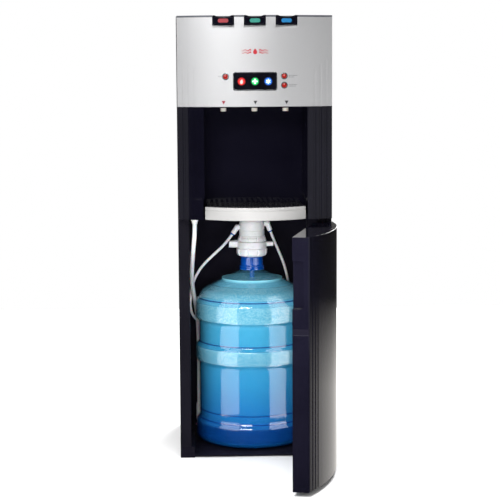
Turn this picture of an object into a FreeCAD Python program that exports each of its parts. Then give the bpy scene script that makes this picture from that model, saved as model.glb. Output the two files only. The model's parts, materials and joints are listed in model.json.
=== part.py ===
import FreeCAD, Part
import math
import os

# Floor-standing, bottom-loading water dispenser: hot, room and cold outlets above a drip tray,
# and a bottle compartment behind a door that is modelled standing open.
# Millimetres. X to the right, Y to the back, Z up. The origin is on the floor, under the
# centre of the cabinet; the front faces -Y.

os.makedirs("parts", exist_ok=True)

# ---- driving dimensions -------------------------------------------------------------------
HALF_W = 172.5            # half the width over the side panels
FRONT_HALF_W = 170.5      # half the width of the bowed front mouldings
SHEET = 2.0               # side panel thickness
POST_Y = -164.0           # front plane of the lower cabinet
BACK_Y = 165.0            # rear plane of the cabinet
HEIGHT = 998.0            # top of the lid
FRONT_R = 500.0           # plan radius of the bowed front
FRONT_MID_Y = -230.0      # foremost line of the bowed front
WALL = 3.0                # wall of the front mouldings

FOOT_TOP = 25.5           # top of the base moulding's walls
FLOOR_TOP = 5.5           # surface that the bottle stands on
DECK_Z = 551.0            # underside of the upper cabinet
SEAM_Z = 597.5            # seam between tray housing and bay surround
FASCIA_Z = 800.0          # lower edge of the silver fascia
LID_Z = 994.0             # underside of the lid

BAY_LEFT = -114.0         # dispensing bay, front opening
BAY_RIGHT = 116.0
BAY_BACK_Y = -105.0
BAY_TAPER = 6.0           # each side wall leans in by this much at the back

GROOVE_X = (131.5, 144.3, 156.7)
GROOVE_TOP = (881.0, 890.5, 899.5)
GROOVE_W = 5.0
GROOVE_DEPTH = 1.2

OUTLET_X = (-69.0, 0.0, 69.0)
NOZZLE_Y = -170.0
NOZZLE_R = 6.5
NOZZLE_BOTTOM = 789.0

BUTTON_W = 46.8
BUTTON_BOTTOM = 977.5
BUTTON_BACK_Y = -184.0
BUTTON_TRAVEL = 4.0
LEDGE_Z = 971.0

TRAY_HALF_W = 111.5
TRAY_CORNER_Y = -208.0
TRAY_MID_Y = -250.0
TRAY_BACK_Y = -108.0
TRAY_TOP = 580.0
BASIN_BOTTOM = 559.0

DOOR_BOTTOM = 11.0
DOOR_TOP = 541.5
DOOR_INNER_Y = -165.0
DOOR_ANGLE = 77.3         # how far the door stands open
PIVOT_X = 152.0
PIVOT_Y = -183.5
PIVOT_R = 18.5            # rounding of the hinge stile about the pivot
PIN_R = 3.0
PIN_FIT = 0.05

BOTTLE_X = -1.5
BOTTLE_BAND_R = 135.0
BOTTLE_BODY_R = 127.3
BOTTLE_WALL = 2.0
WATER_TOP = 394.4
NECK_R = 22.8
DIP_R = 6.0

HOSE_R = 3.25             # water and air hoses
DRAIN_HOSE_R = 5.0

UP = FreeCAD.Vector(0, 0, 1)
TO_BACK = FreeCAD.Vector(0, 1, 0)
TO_RIGHT = FreeCAD.Vector(1, 0, 0)


# ---- helpers ------------------------------------------------------------------------------
def vec(x, y, z):
    return FreeCAD.Vector(x, y, z)


def save(name, shape):
    if isinstance(shape, list):
        shape = Part.makeCompound(shape)
    shape.exportStep("parts/" + name + ".step")


def box(x0, x1, y0, y1, z0, z1):
    return Part.makeBox(x1 - x0, y1 - y0, z1 - z0, vec(x0, y0, z0))


def rod(start, direction, radius, length):
    return Part.makeCylinder(radius, length, start, direction)


def ring(start, direction, outer, inner, length):
    return rod(start, direction, outer, length).cut(rod(start, direction, inner, length))


def fuse(shapes):
    whole = shapes[0].multiFuse(shapes[1:])
    return whole.removeSplitter()


def prism(points, z0, z1):
    """Vertical prism over a closed plan outline of straight lines."""
    corners = [vec(x, y, z0) for x, y in points]
    wire = Part.makePolygon(corners + [corners[0]])
    return Part.Face(wire).extrude(vec(0, 0, z1 - z0))


def lathe(profile, x, y):
    """Solid of revolution about the vertical line at x, y; profile holds (radius, z)."""
    corners = [vec(x + r, y, z) for r, z in profile]
    wire = Part.makePolygon(corners + [corners[0]])
    return Part.Face(wire).revolve(vec(x, y, 0), UP, 360)


def rounded_box(x0, x1, y0, y1, z0, z1, radius, axis):
    """Box whose four edges along the axis are rounded."""
    block = box(x0, x1, y0, y1, z0, z1)
    edges = []
    for edge in block.Edges:
        run = edge.Vertexes[1].Point.sub(edge.Vertexes[0].Point)
        if abs(run.normalize().dot(axis)) > 0.99:
            edges.append(edge)
    return block.makeFillet(radius, edges)


def bow_y(x, inset=0.0):
    """Y of the bowed front at x, moved in by inset."""
    radius = FRONT_R - inset
    return FRONT_MID_Y + FRONT_R - math.sqrt(radius ** 2 - x ** 2)


def arc_block(half_w, y_side, y_mid, y_back, z0, z1):
    """Block with a straight back and a front that is one arc in plan."""
    left = vec(-half_w, y_side, z0)
    middle = vec(0, y_mid, z0)
    right = vec(half_w, y_side, z0)
    back_right = vec(half_w, y_back, z0)
    back_left = vec(-half_w, y_back, z0)
    edges = [
        Part.Arc(left, middle, right).toShape(),
        Part.makeLine(right, back_right),
        Part.makeLine(back_right, back_left),
        Part.makeLine(back_left, left),
    ]
    return Part.Face(Part.Wire(edges)).extrude(vec(0, 0, z1 - z0))


def bowed(inset, half_w, y_back, z0, z1):
    """Block behind the cabinet's bowed front, moved in by inset."""
    return arc_block(half_w, bow_y(half_w, inset), FRONT_MID_Y + inset, y_back, z0, z1)


def skin(outer, inner, z0, z1, half_w=FRONT_HALF_W):
    """Layer that follows the bowed front between two insets."""
    return bowed(outer, half_w, -150, z0, z1).cut(bowed(inner, half_w, -150, z0, z1))


def grooves(z0, rounded):
    """The three shallow grooves down each side of the bowed front, as cutting tools."""
    tools = []
    for side in (-1, 1):
        for x, top in zip(GROOVE_X, GROOVE_TOP):
            z1 = top if rounded else FASCIA_Z
            x0 = side * x - GROOVE_W / 2
            slot = box(x0, x0 + GROOVE_W, -240, -190, z0, z1)
            if rounded:
                slot = slot.fuse(rod(vec(side * x, -240, z1), TO_BACK, GROOVE_W / 2, 50))
            tools.append(slot)
    layer = skin(-1.0, GROOVE_DEPTH, z0, LID_Z)
    return layer.common(Part.makeCompound(tools))


def tube_along(points, radius):
    """Round tube along straight runs joined by tangent arcs; prints its tightest bend."""
    points = [vec(*p) for p in points]
    edges = []
    start = points[0]
    tightest = 1e9
    for before, corner, after in zip(points, points[1:], points[2:]):
        back = before.sub(corner)
        ahead = after.sub(corner)
        run = 0.45 * min(back.Length, ahead.Length)
        back.normalize()
        ahead.normalize()
        half_turn = (math.pi - back.getAngle(ahead)) / 2
        tightest = min(tightest, run / math.tan(half_turn))
        enter = corner + back * run
        leave = corner + ahead * run
        inward = (back + ahead).normalize()
        bend = run / math.tan(half_turn)
        sag = bend / math.cos(half_turn) - bend
        edges.append(Part.LineSegment(start, enter).toShape())
        edges.append(Part.Arc(enter, corner + inward * sag, leave).toShape())
        start = leave
    edges.append(Part.LineSegment(start, points[-1]).toShape())
    path = Part.Wire(edges)
    direction = points[1].sub(points[0])
    section = Part.Wire(Part.makeCircle(radius, points[0], direction))
    tube = path.makePipeShell([section], True, False)
    volume_ratio = tube.Volume / (math.pi * radius ** 2 * path.Length)
    print("tube: length %.0f, tightest bend %.0f, volume ratio %.3f"
          % (path.Length, tightest, volume_ratio))
    return tube


# ---- lower cabinet ------------------------------------------------------------------------
def base_tray():
    """U-shaped base wall on the floor with a thin plate for the bottle inside it."""
    inner = 140.0
    whole = box(-HALF_W, HALF_W, POST_Y, BACK_Y, 0, FOOT_TOP)
    well = box(-inner, inner, POST_Y - 1, 140, -1, FOOT_TOP + 1)
    plate = box(-inner, inner, POST_Y, 140, FLOOR_TOP - 3, FLOOR_TOP)
    hinge_slot = box(139, 167, POST_Y - 1, -149.5, 4.8, 10.2)
    return fuse([whole.cut(well), plate]).cut(hinge_slot)


def side_panel(side):
    x0 = HALF_W - SHEET if side > 0 else -HALF_W
    panel = box(x0, x0 + SHEET, POST_Y, BACK_Y, FOOT_TOP, LID_Z)
    vents = []
    for i in range(9):
        z = 620 + 14 * i
        vents.append(box(-HALF_W - 1, HALF_W + 1, 60, 140, z, z + 4))
    return panel.cut(Part.makeCompound(vents))


def post_left():
    front = box(-170.5, -148, POST_Y, POST_Y + 2, FOOT_TOP, 550.5)
    inner = box(-150, -148, POST_Y, -134, FOOT_TOP, 550.5)
    catch = box(-166, -152, POST_Y + 2, POST_Y + 5, 330, 362)
    return fuse([front, inner, catch])


def post_right():
    """Right post; its widened top carries the upper hinge."""
    front = box(137.5, 170.5, POST_Y, POST_Y + 2, FOOT_TOP, 546)
    inner = box(137.5, 139.5, POST_Y, -134, FOOT_TOP, 515)
    gusset = box(116, 170.5, POST_Y, POST_Y + 2, 515, 546)
    lip = box(116, 118, POST_Y, -148, 515, 546)
    return fuse([front, inner, gusset, lip])


def compartment_liner():
    left = box(-154.5, -153, -134, 150, FOOT_TOP, 550)
    back = box(-154.5, 154.5, 148.5, 150, FOOT_TOP, 550)
    right = box(153, 154.5, -134, 150, FOOT_TOP, 550)
    return fuse([left, back, right])


def machine_deck():
    deck = box(-170, 170, POST_Y, 163, DECK_Z, 555)
    return deck.cut(rod(vec(-135.5, -152, DECK_Z - 1), UP, 7, 6))


def hinge_brackets():
    """Upper and lower hinge plates, each with the pin that the door turns on."""
    brackets = []
    for z0, pin_z0, pin_z1 in ((546.5, 530.0, 546.5), (5.3, 9.3, 26.0)):
        plate = box(142, 162, PIVOT_Y, -150, z0, z0 + 4)
        nose = rod(vec(PIVOT_X, PIVOT_Y, z0), UP, 10, 4)
        pin = rod(vec(PIVOT_X, PIVOT_Y, pin_z0), UP, PIN_R, pin_z1 - pin_z0)
        brackets.append(fuse([plate, nose, pin]))
    return brackets


# ---- door ---------------------------------------------------------------------------------
def turn_open(shape):
    shape.rotate(vec(PIVOT_X, PIVOT_Y, 0), UP, DOOR_ANGLE)
    return shape


def door_block(z0, z1):
    """Outline of the closed door: bowed outside, flat inside, round at the hinge stile."""
    edge = FRONT_HALF_W
    diagonal = PIVOT_R * math.sqrt(0.5)
    points = [
        vec(-edge, DOOR_INNER_Y, z0),
        vec(PIVOT_X, DOOR_INNER_Y, z0),
        vec(PIVOT_X + diagonal, PIVOT_Y + diagonal, z0),
        vec(edge, PIVOT_Y, z0),
        vec(edge, -196, z0),
        vec(edge - 4, bow_y(edge - 4), z0),
        vec(0, FRONT_MID_Y, z0),
        vec(-edge + 1.5, bow_y(edge - 1.5), z0),
        vec(-edge, bow_y(edge) + 1.5, z0),
    ]
    edges = [
        Part.makeLine(points[0], points[1]),
        Part.Arc(points[1], points[2], points[3]).toShape(),
        Part.makeLine(points[3], points[4]),
        Part.makeLine(points[4], points[5]),
        Part.Arc(points[5], points[6], points[7]).toShape(),
        Part.makeLine(points[7], points[8]),
        Part.makeLine(points[8], points[0]),
    ]
    return Part.Face(Part.Wire(edges)).extrude(vec(0, 0, z1 - z0))


STILE_X = -152.5          # inner side of the free stile
HINGE_STILE_X = 133.0     # inner side of the hinge stile
STRIP_Z = (340.0, 353.0)  # strike strip on the free edge
STRIP_T = 1.5


def door_panel():
    """Bowed outer moulding with solid stiles, grooves, finger pull and pin holes."""
    block = door_block(DOOR_BOTTOM, DOOR_TOP)
    hollow = bowed(WALL, FRONT_HALF_W - 5, -160, DOOR_BOTTOM + 3, DOOR_TOP - 3)
    hollow = hollow.common(box(STILE_X, HINGE_STILE_X, -240, -160, DOOR_BOTTOM, DOOR_TOP))
    pull = rounded_box(-180, -158, -188, -140, 394, 493, 7, TO_RIGHT)
    strip = box(-FRONT_HALF_W, -FRONT_HALF_W + STRIP_T, -199, -166, *STRIP_Z)
    magnet = box(-165, -154, -168, DOOR_INNER_Y, 330, 362)
    tools = [hollow, pull, strip, magnet, grooves(DOOR_BOTTOM, False)]
    for z in (DOOR_TOP - 13, DOOR_BOTTOM):
        tools.append(rod(vec(PIVOT_X, PIVOT_Y, z), UP, PIN_R + PIN_FIT, 16))
    return block.cut(Part.makeCompound(tools))


def door_liner():
    """Flat inner skin of the door with a pressed frame."""
    x0, x1 = STILE_X + 0.5, HINGE_STILE_X - 0.5
    z0, z1 = DOOR_BOTTOM + 3.5, DOOR_TOP - 3.5
    plate = box(x0, x1, -168, DOOR_INNER_Y, z0, z1)
    pressed = rounded_box(x0 + 16, x1 - 16, -166, -160, z0 + 16, z1 - 16, 12, TO_BACK)
    return plate.cut(pressed)


def door_catch():
    strip = box(-FRONT_HALF_W, -FRONT_HALF_W + STRIP_T, -199, -166, *STRIP_Z)
    magnet = box(-164.8, -154.2, -167.8, DOOR_INNER_Y + 0.2, 330.2, 361.8)
    return [strip, magnet]


# ---- upper cabinet ------------------------------------------------------------------------
def front_shell(z0, z1):
    """Bowed front with returns to the post plane, open at the back."""
    outer = bowed(0, FRONT_HALF_W, POST_Y, z0, z1)
    inner = bowed(WALL, FRONT_HALF_W - WALL, POST_Y + 1, z0 - 1, z1 + 1)
    return outer.cut(inner)


def bay_plan(offset, y_front):
    """Plan of the dispensing bay: side walls that lean in towards the back."""
    return [
        (BAY_LEFT - offset, y_front),
        (BAY_LEFT + BAY_TAPER - offset, BAY_BACK_Y + offset),
        (BAY_RIGHT - BAY_TAPER + offset, BAY_BACK_Y + offset),
        (BAY_RIGHT + offset, y_front),
    ]


def bay_surround():
    """Black moulding: grooved flanks and the recess between them."""
    shell = front_shell(SEAM_Z, FASCIA_Z)
    walls = prism(bay_plan(2.5, -240), SEAM_Z, FASCIA_Z)
    walls = walls.common(bowed(0, FRONT_HALF_W, -90, SEAM_Z, FASCIA_Z))
    space = prism(bay_plan(0, -245), SEAM_Z - 1, FASCIA_Z - 2.5)
    slot = box(BAY_LEFT, BAY_RIGHT, -245, -222, FASCIA_Z - 3, FASCIA_Z + 1)
    holes = [rod(vec(x, NOZZLE_Y, FASCIA_Z - 4), UP, NOZZLE_R + 0.8, 6) for x in OUTLET_X]
    tools = [space, slot, grooves(SEAM_Z, False)] + holes
    return shell.fuse(walls).cut(Part.makeCompound(tools))


def tray_housing():
    """Lower strip of the front with the pocket that the drip tray slides into."""
    pocket_w = 115.5
    shell = front_shell(DECK_Z, SEAM_Z)
    floor = bowed(0, FRONT_HALF_W, POST_Y, DECK_Z, DECK_Z + 2.5)
    walls = box(-118, 118, -225, BAY_BACK_Y + 2.5, 555, SEAM_Z)
    walls = walls.common(bowed(0, FRONT_HALF_W, -90, DECK_Z, SEAM_Z))
    front_cut = box(-pocket_w, pocket_w, -245, -203.5, DECK_Z - 1, SEAM_Z + 1)
    space = box(-pocket_w, pocket_w, -245, BAY_BACK_Y, 557.5, SEAM_Z + 1)
    tools = Part.makeCompound([front_cut, space, grooves(DECK_Z, False)])
    return fuse([shell, floor, walls]).cut(tools)


def tray_shape(inset, y_back, z0, z1):
    half_w = TRAY_HALF_W - inset
    return arc_block(half_w, TRAY_CORNER_Y + inset, TRAY_MID_Y + inset, y_back, z0, z1)


def tray_front():
    """Curved light band of the drip tray with a rounded lip."""
    band = tray_shape(0, -204.5, DECK_Z, TRAY_TOP)
    front_edges = []
    for edge in band.Edges:
        if not isinstance(edge.Curve, Part.Line):
            front_edges.append(edge)
    band = band.makeFillet(2.0, front_edges)
    return band.cut(tray_shape(3.5, -200, DECK_Z - 1, TRAY_TOP + 1))


def tray_basin():
    outer = tray_shape(3.9, TRAY_BACK_Y, BASIN_BOTTOM, 577)
    return outer.cut(tray_shape(5.9, TRAY_BACK_Y - 2, BASIN_BOTTOM + 2, 578))


def drip_grille():
    plate = tray_shape(4.3, TRAY_BACK_Y, 577.2, TRAY_TOP - 0.3)
    slots = []
    for row_y0, row_y1, columns in ((-236, -204, 5), (-197, -161, 8), (-154, -118, 8)):
        for i in range(-columns, columns + 1):
            x = 12.0 * i
            slots.append(box(x - 3.2, x + 3.2, row_y0, row_y1, 570, 590))
    return plate.cut(Part.makeCompound(slots))


def button_pocket(x):
    """Ledge and low back wall under one button, part of the fascia."""
    block = bowed(0, FRONT_HALF_W, -150, LEDGE_Z - 3, 977)
    block = block.common(box(x - 27, x + 27, -235, bow_y(x) + 14, LEDGE_Z - 3, 977))
    space = box(x - 23.9, x + 23.9, -245, bow_y(x) + 10.5, LEDGE_Z, 999)
    return block, space


WINDOW = (-46.8, 46.2, 836.7, 873.4)
LAMPS = ((-64.7, 865.5), (63.6, 866.5), (63.7, 846.5))


def control_fascia():
    """Silver control panel with button notches, window, lamp holes and grooves."""
    shell = front_shell(FASCIA_Z, LID_Z)
    blocks = []
    spaces = []
    for x in OUTLET_X:
        block, space = button_pocket(x)
        blocks.append(block)
        spaces.append(space)
    x0, x1, z0, z1 = WINDOW
    spaces.append(rounded_box(x0 - 2, x1 + 2, -240, -210, z0 - 2, z1 + 2, 5, TO_BACK))
    for x, z in LAMPS:
        spaces.append(rod(vec(x, -240, z), TO_BACK, 6.4, 40))
    spaces.append(grooves(FASCIA_Z, True))
    return fuse([shell] + blocks).cut(Part.makeCompound(spaces))


def top_cover():
    """Dark lid with a cut-out for each button."""
    lid = bowed(0, FRONT_HALF_W, POST_Y, LID_Z, HEIGHT)
    back = box(-HALF_W, HALF_W, POST_Y, BACK_Y, LID_Z, HEIGHT)
    cuts = []
    for x in OUTLET_X:
        cuts.append(box(x - 23.9, x + 23.9, -245, BUTTON_BACK_Y + 0.5, LID_Z - 1, HEIGHT + 1))
    return fuse([lid, back]).cut(Part.makeCompound(cuts))


def button(x):
    """Push button: front skirt in its notch, dished finger pad and a stem below."""
    half = BUTTON_W / 2
    front = bowed(0.4, FRONT_HALF_W, BUTTON_BACK_Y, BUTTON_BOTTOM, HEIGHT)
    block = front.common(box(x - half, x + half, -245, BUTTON_BACK_Y, BUTTON_BOTTOM, HEIGHT))
    pad_z = BUTTON_BOTTOM + BUTTON_TRAVEL + 0.3
    under = box(x - 30, x + 30, bow_y(x) + 6.5, -180, BUTTON_BOTTOM - 1, pad_z)
    dish = rod(vec(x, -245, HEIGHT - 4 + 47), TO_BACK, 47, 100)
    stem = rod(vec(x, -200, 960), UP, 4, 24)
    return block.cut(under).cut(dish).fuse(stem)


def button_label(x):
    """Raised pill on the button's front face."""
    layer = skin(-0.5, 0.4, 900, HEIGHT)
    pill = rounded_box(x - 11.5, x + 11.5, -240, -210, 982, 990.6, 4.2, TO_BACK)
    return layer.common(pill)


def display_bezel():
    x0, x1, z0, z1 = WINDOW
    outer = rounded_box(x0 - 1.9, x1 + 1.9, -240, -210, z0 - 1.9, z1 + 1.9, 5, TO_BACK)
    inner = rounded_box(x0, x1, -240, -210, z0, z1, 4, TO_BACK)
    return skin(-0.6, WALL, z0 - 10, z1 + 10).common(outer.cut(inner))


def display_window():
    x0, x1, z0, z1 = WINDOW
    glass = rounded_box(x0 + 0.1, x1 - 0.1, -240, -210, z0 + 0.1, z1 - 0.1, 4, TO_BACK)
    return skin(0.3, WALL, z0 - 10, z1 + 10).common(glass)


def lamp_bezels():
    rings = []
    for x, z in LAMPS:
        y = bow_y(x)
        body = ring(vec(x, y, z), TO_BACK, 6.3, 5.2, 8)
        flange = skin(-0.8, 0, z - 10, z + 10).common(ring(vec(x, -240, z), TO_BACK, 7.4, 5.2, 40))
        rings.append(fuse([body, flange]))
    return rings


def lamp_lenses():
    lenses = []
    for x, z in LAMPS:
        y = bow_y(x)
        lens = rod(vec(x, y - 1.2, z), TO_BACK, 5.1, 8)
        dome = Part.makeSphere(6.4, vec(x, y + 2.7, z))
        dome = dome.common(rod(vec(x, y - 6, z), TO_BACK, 5.1, 6))
        lenses.append(lens.fuse(dome))
    return lenses


def nozzles():
    tips = []
    for x in OUTLET_X:
        profile = [(4.2, NOZZLE_BOTTOM), (NOZZLE_R - 1, NOZZLE_BOTTOM),
                   (NOZZLE_R, NOZZLE_BOTTOM + 1), (NOZZLE_R, 820), (4.2, 820)]
        tips.append(lathe(profile, x, NOZZLE_Y))
    return tips


def outlet_valves():
    """One valve above each nozzle with the pipe that feeds it."""
    valves = []
    for x, tank_y in zip(OUTLET_X, (-10.6, -40.0, -27.6)):
        body = rod(vec(x, NOZZLE_Y, 820), UP, 10, 40)
        coil = box(x - 12, x + 12, NOZZLE_Y - 12, NOZZLE_Y + 12, 828, 850)
        pipe = rod(vec(x, NOZZLE_Y, 838), TO_BACK, 4, tank_y - NOZZLE_Y)
        valves.append(fuse([body, coil, pipe]))
    return valves


def switch_bar():
    rail = box(-100, 100, -208, -192, 936, 940)
    switches = [box(x - 10, x + 10, -205, -195, 940, 955) for x in OUTLET_X]
    return fuse([rail] + switches)


def control_board():
    board = box(-84, 84, -214, -212.4, 826, 932)
    display = box(-44, 44, -224.5, -214, 840, 870)
    chip = box(-60, -38, -212.4, -209, 890, 912)
    relay = box(20, 38, -212.4, -196, 884, 900)
    return fuse([board, display, chip, relay])


# ---- inside the upper cabinet -------------------------------------------------------------
HOT_TANK = (-75.0, 40.0, 50.0, 734.0, 905.0)
COLD_TANK = (65.0, 36.0, 63.0, 734.0, 925.0)
TANK_WALL = 1.5


def tank(spec):
    x, y, r, z0, z1 = spec
    profile = [(0, z0), (r - 12, z0), (r, z0 + 12), (r, z0 + 30), (r + 3, z0 + 31),
               (r + 3, z0 + 35), (r, z0 + 36), (r, z1 - 14), (r - 16, z1), (0, z1)]
    t = TANK_WALL
    inside = [(0, z0 + t), (r - 12 - t / 2, z0 + t), (r - t, z0 + 12 + t / 2),
              (r - t, z1 - 14 - t / 2), (r - 16 - t / 2, z1 - t), (0, z1 - t)]
    outlet = rod(vec(x, y, z1 - 1), UP, 5, 14)
    bore = rod(vec(x, y, z1 - 5), UP, 3.5, 20)
    return lathe(profile, x, y).fuse(outlet).cut(lathe(inside, x, y)).cut(bore)


def tank_shelf():
    plate = box(-168, 168, -30, 160, 729, 734)
    legs = [box(x, x + 3, -30, 160, 555, 729) for x in (-168, 165)]
    return fuse([plate] + legs)


COMPRESSOR_X = 72.0
COMPRESSOR_Y = 85.0


def compressor():
    profile = [(0, 565), (58, 565), (58, 568), (54, 570), (60, 590), (62, 630),
               (60, 668), (48, 690), (24, 700), (0, 702)]
    can = lathe(profile, COMPRESSOR_X, COMPRESSOR_Y)
    inside = lathe([(0, 573), (50, 573), (54, 630), (50, 664), (40, 684), (0, 694)],
                   COMPRESSOR_X, COMPRESSOR_Y)
    pipe = rod(vec(COMPRESSOR_X - 70, COMPRESSOR_Y, 650), TO_RIGHT, 4, 40)
    bore = rod(vec(COMPRESSOR_X - 71, COMPRESSOR_Y, 650), TO_RIGHT, 2.5, 40)
    return can.fuse(pipe).cut(inside).cut(bore)


def compressor_feet():
    feet = []
    for turn in (90, 210, 330):
        x = COMPRESSOR_X + 46 * math.cos(math.radians(turn))
        y = COMPRESSOR_Y + 46 * math.sin(math.radians(turn))
        feet.append(rod(vec(x, y, 555), UP, 9, 10))
    return feet


def pump():
    motor = rod(vec(-85, 70, 555), UP, 24, 62)
    head = rod(vec(-85, 70, 617), UP, 28, 22)
    port = rod(vec(-85, 44, 628), FreeCAD.Vector(0, -1, 0), 5, 14)
    return fuse([motor, head, port])


# ---- rear ---------------------------------------------------------------------------------
REAR_IN = 163.0
ROCKER_X = (-110.0, -78.0)
ROCKER_Z = 945.0
ROCKER_PIVOT_Y = 160.0
ROCKER_TILT = 9.0
INLET = (95.0, 70.0)
PLUG = (-60.0, 60.0)


def rear_panel():
    panel = box(-170.5, 170.5, REAR_IN, BACK_Y, FOOT_TOP, LID_Z)
    cuts = []
    for i in range(11):
        x = -100 + 20 * i
        cuts.append(rounded_box(x - 3, x + 3, 160, 170, 912, 926, 2.5, TO_BACK))
    for x in ROCKER_X:
        cuts.append(box(x - 11, x + 11, 160, 170, ROCKER_Z - 15, ROCKER_Z + 15))
    cuts.append(box(INLET[0] - 14, INLET[0] + 14, 160, 170, INLET[1] - 10, INLET[1] + 10))
    cuts.append(rod(vec(PLUG[0], 160, PLUG[1]), TO_BACK, 8, 10))
    return panel.cut(Part.makeCompound(cuts))


def rocker_frames():
    frames = []
    for x in ROCKER_X:
        rim = box(x - 13, x + 13, BACK_Y, BACK_Y + 2, ROCKER_Z - 17, ROCKER_Z + 17)
        body = box(x - 10.8, x + 10.8, 147, BACK_Y, ROCKER_Z - 14.8, ROCKER_Z + 14.8)
        space = box(x - 8.6, x + 8.6, 150, 170, ROCKER_Z - 13, ROCKER_Z + 13)
        frames.append(fuse([rim, body]).cut(space))
    return frames


def rocker(x):
    """Rocker cap with two finger faces, resting tipped to its off side."""
    points = [(158, -10.5), (170.4, -10.5), (167.6, 0), (170.4, 10.5), (158, 10.5)]
    corners = [vec(x - 8.1, y, ROCKER_Z + z) for y, z in points]
    wire = Part.makePolygon(corners + [corners[0]])
    cap = Part.Face(wire).extrude(vec(16.2, 0, 0))
    cap.rotate(vec(x, ROCKER_PIVOT_Y, ROCKER_Z), TO_RIGHT, -ROCKER_TILT)
    return cap


def power_inlet():
    x, z = INLET
    rim = box(x - 17, x + 17, BACK_Y, BACK_Y + 2.5, z - 13, z + 13)
    body = box(x - 13.8, x + 13.8, 150, BACK_Y, z - 9.8, z + 9.8)
    space = box(x - 11.5, x + 11.5, 154, 170, z - 7.5, z + 7.5)
    pins = [box(x + dx - 1, x + dx + 1, 152, 163, z - 2.5, z + 2.5) for dx in (-7, 0, 7)]
    return fuse([rim, body]).cut(space).fuse(pins)


def drain_plug():
    x, z = PLUG
    stem = rod(vec(x, 152, z), TO_BACK, 7, 14)
    head = rod(vec(x, BACK_Y + 0.3, z), TO_BACK, 13, 9)
    grip = box(x - 10, x + 10, BACK_Y + 9.3, BACK_Y + 14, z - 2, z + 2)
    return fuse([stem, head, grip])


CONDENSER_Y = 174.0
CONDENSER_X = 140.0


def condenser():
    """Serpentine tube with thin vertical wires welded to both faces of it."""
    radius = 2.4
    pitch = 48.0
    rows = 16
    z = 130.0
    side = -1
    edges = []
    for i in range(rows):
        start = vec(side * CONDENSER_X, CONDENSER_Y, z)
        end = vec(-side * CONDENSER_X, CONDENSER_Y, z)
        edges.append(Part.makeLine(start, end))
        side = -side
        if i < rows - 1:
            bulge = vec(side * (CONDENSER_X + pitch / 2), CONDENSER_Y, z + pitch / 2)
            top = vec(side * CONDENSER_X, CONDENSER_Y, z + pitch)
            edges.append(Part.Arc(end, bulge, top).toShape())
            z += pitch
    path = Part.Wire(edges)
    section = Part.Wire(Part.makeCircle(radius, vec(-CONDENSER_X, CONDENSER_Y, 130), TO_RIGHT))
    solids = [path.makePipeShell([section], True, False)]
    for i in range(20):
        x = -133 + 14 * i
        y = CONDENSER_Y + (radius + 0.7) * (1 if i % 2 else -1)
        solids.append(rod(vec(x, y, 115), UP, 0.8, 750))
    for x in (-120.0, 120.0):
        for z in (200.0, 780.0):
            solids.append(rod(vec(x, BACK_Y, z), TO_BACK, 3, 5.3))
    return solids


def screws():
    heads = []
    for x in (-160, 160):
        for z in (45, 330, 640, 975):
            head = rod(vec(x, BACK_Y, z), TO_BACK, 4.2, 2.0)
            slot = box(x - 3, x + 3, BACK_Y + 1.2, BACK_Y + 3, z - 0.6, z + 0.6)
            cross = box(x - 0.6, x + 0.6, BACK_Y + 1.2, BACK_Y + 3, z - 3, z + 3)
            heads.append(head.cut(slot.fuse(cross)))
    return heads


# ---- bottle and probe ---------------------------------------------------------------------
def bottle_profile(inset):
    """Outer radius and height of the bottle, bottom to neck, moved in by inset."""
    band = BOTTLE_BAND_R - inset
    body = BOTTLE_BODY_R - inset
    return [
        (108, FLOOR_TOP + inset), (122, 7.5 + inset), (131 - inset, 13 + inset),
        (band, 22 + inset / 2), (band, 54), (body + 2, 62), (body, 68), (body, 194),
        (band, 203.5), (band, 235), (body, 243), (body, 295), (band, 301.3),
        (band, 338.5), (126.4 - inset, 354), (116.8 - inset, 367 - inset / 2),
        (77.5, 388.3 - inset), (33, 409 - inset), (NECK_R - inset, 412 - inset / 2),
    ]


def water_bottle():
    outer = [(0, 12)] + [(92, 12)] + bottle_profile(0) + [(NECK_R, 443), (0, 443)]
    inner = [(0, 12 + BOTTLE_WALL), (93, 12 + BOTTLE_WALL)] + bottle_profile(BOTTLE_WALL)
    inner = inner + [(NECK_R - BOTTLE_WALL, 450), (0, 450)]
    return lathe(outer, BOTTLE_X, 0).cut(lathe(inner, BOTTLE_X, 0))


def water():
    gap = BOTTLE_WALL + 0.3
    profile = [(0, 12 + gap), (93, 12 + gap)] + bottle_profile(gap)[:-1] + [(0, 407)]
    body = lathe(profile, BOTTLE_X, 0)
    body = body.common(box(-150, 150, -150, 150, 0, WATER_TOP))
    return body.cut(rod(vec(BOTTLE_X, 0, 18), UP, DIP_R + 0.3, 400))


def neck_cap():
    """Blue snap-on cap: flange at the shoulder and a plain collar above it."""
    profile = [(23.1, 412.5), (28.5, 412.5), (30.2, 414), (30.2, 417), (28.6, 418),
               (28.6, 419), (30.2, 420), (30.2, 421.7), (26.6, 423), (26.4, 443.5),
               (23.1, 443.5)]
    return lathe(profile, BOTTLE_X, 0)


def dip_tube():
    tube = ring(vec(BOTTLE_X, 0, 20), UP, DIP_R, DIP_R - 1.5, 410)
    foot = ring(vec(BOTTLE_X, 0, 18.2), UP, DIP_R, 2, 3)
    return tube.fuse(foot)


COLLAR_BORE = 16.05
COLLAR_NOTCHES = 9


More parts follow.
